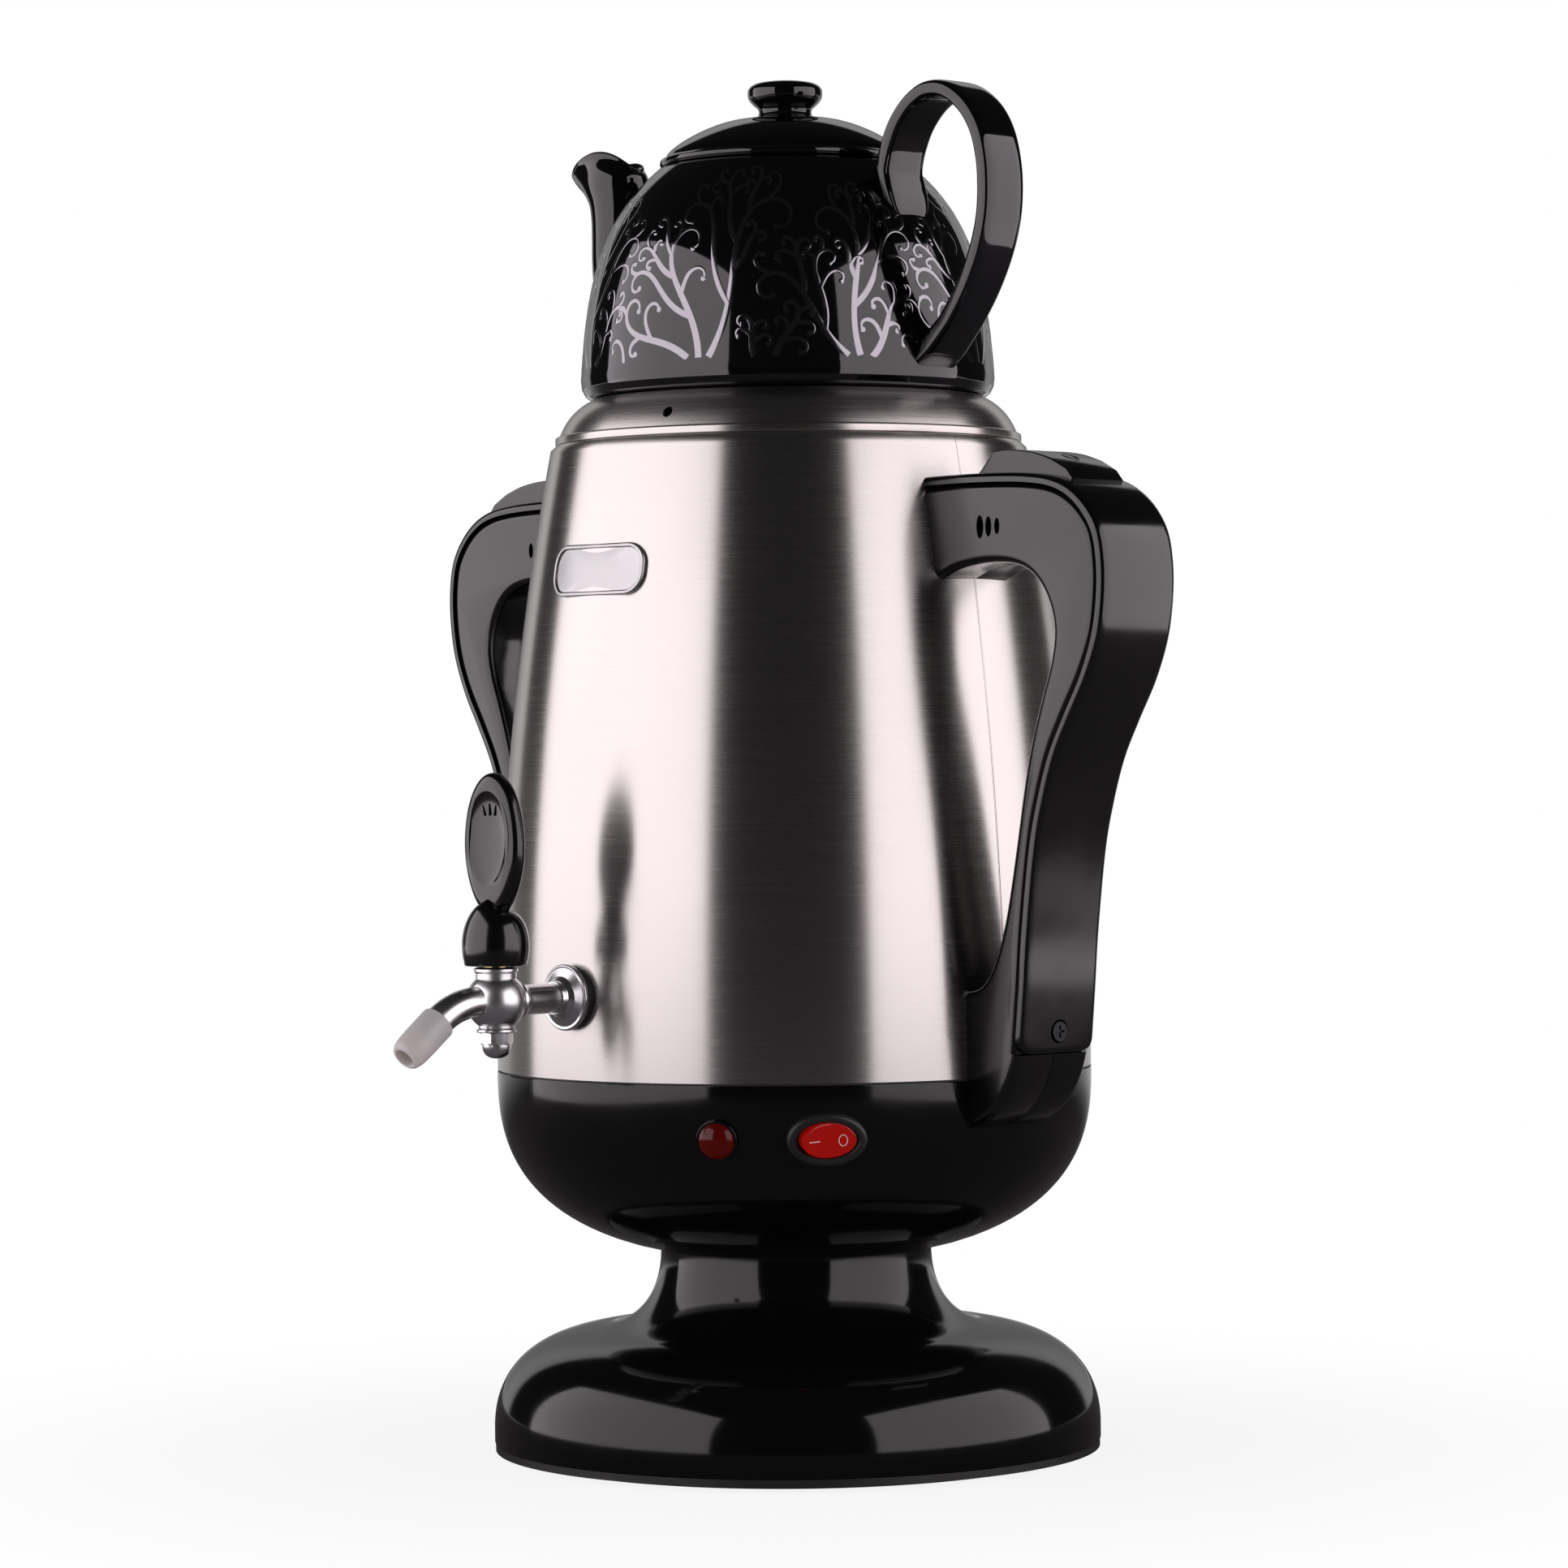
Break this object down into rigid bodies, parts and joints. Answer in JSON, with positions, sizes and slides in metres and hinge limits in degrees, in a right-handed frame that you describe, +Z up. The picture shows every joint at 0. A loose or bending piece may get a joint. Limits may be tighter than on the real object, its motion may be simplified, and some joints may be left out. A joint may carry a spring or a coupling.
{
  "type": "electric samovar",
  "caption": "Electric samovar: steel tank on a black plastic bowl and foot, two tall black handles, chrome tap with paddle lever, black porcelain teapot on the top ring",
  "frame": {"origin": "On the vertical axis of the tank, on the plane that the rubber ring of the foot rests on", "axes": "+Z is up, the tap and its lever point along -Y, the two big handles lie along +X and -X, the power inlet faces +Y"},
  "size_m": [0.3212, 0.2764, 0.4621],
  "materials": {
    "black_plastic": "moulded black plastic, high gloss",
    "satin_plastic": "moulded black plastic, satin",
    "brushed_steel": "stainless sheet, brushed around the tank",
    "polished_steel": "stainless sheet, finely polished",
    "chrome": "chrome plated brass, mirror bright",
    "badge_metal": "bright rim around a blasted field",
    "black_porcelain": "black glaze with a silvery scroll transfer under it",
    "rubber": "black rubber",
    "silicone_red": "red silicone seal",
    "milky_silicone": "milky, slightly see-through silicone",
    "zinc": "zinc plated steel",
    "aluminium": "plain rolled aluminium",
    "element_steel": "heat-darkened steel sheath",
    "brass": "plain turned brass",
    "pale_ceramic": "unglazed pale ceramic",
    "glass": "small neon bulb",
    "red_lens": "clear red plastic dome",
    "red_rocker": "clear red plastic with white switch marks"
  },
  "bodies": {
    "samovar": {"anti_slip_ring": "rubber", "base_plate": "satin_plastic", "base_screws": "zinc", "foot_shell": "black_plastic", "bowl_shell": "black_plastic", "shell_gasket": "rubber", "tank_shell": "brushed_steel", "tank_floor": "brushed_steel", "tank_studs": "zinc", "stud_nuts": "zinc", "heat_plate": "aluminium", "heating_element": "element_steel", "thermostat": "satin_plastic", "thermal_cutout": "pale_ceramic", "sensor_bracket": "zinc", "power_inlet": "satin_plastic", "inlet_pins": "brass", "inlet_screws": "zinc", "lamp_holder": "black_plastic", "lamp_lens": "red_lens", "lamp_nut": "satin_plastic", "neon_bulb": "glass", "switch_frame": "black_plastic", "switch_terminals": "brass", "badge": "badge_metal", "tap_rosette": "chrome", "tap_body": "chrome", "tap_seal_outer": "rubber", "tap_seal_inner": "silicone_red", "tap_nut": "chrome", "nozzle_tip": "milky_silicone", "handle_right_front_half": "black_plastic", "handle_right_rear_half": "black_plastic", "handle_right_cover": "black_plastic", "handle_right_cap": "black_plastic", "handle_right_screws": "zinc", "handle_right_brackets": "zinc", "handle_left_front_half": "black_plastic", "handle_left_rear_half": "black_plastic", "handle_left_cover": "black_plastic", "handle_left_cap": "black_plastic", "handle_left_screws": "zinc", "handle_left_brackets": "zinc"},
    "tap_turn": {"tap_plug": "brass", "tap_lever": "black_plastic", "plug_washer": "chrome", "acorn_nut": "chrome"},
    "rocker": {"switch_rocker": "red_rocker"},
    "ring": {"stand_ring": "polished_steel"},
    "teapot": {"teapot_body": "black_porcelain", "teapot_spout": "black_porcelain", "teapot_handle": "black_porcelain"},
    "lid": {"teapot_lid": "black_porcelain"}
  },
  "joints": [
    {"name": "tap_lever_turn", "type": "hinge", "parent": "samovar", "child": "tap_turn", "pos_m": [0, -0.1315, 0.157], "axis": [0, 0, 1], "range_deg": [0, 90]},
    {"name": "rocker_tilt", "type": "hinge", "parent": "samovar", "child": "rocker", "pos_m": [0.07766, -0.05981, 0.11239], "axis": [-0.1534, 0.1181, -0.9811], "range_deg": [0, 20]},
    {"name": "ring_lift", "type": "slide", "parent": "samovar", "child": "ring", "axis": [0, 0, 1], "range_m": [0, 0.06]},
    {"name": "teapot_lift", "type": "slide", "parent": "ring", "child": "teapot", "axis": [0, 0, 1], "range_m": [0, 0.06]},
    {"name": "lid_lift", "type": "slide", "parent": "teapot", "child": "lid", "axis": [0, 0, 1], "range_m": [0, 0.05]}
  ]
}
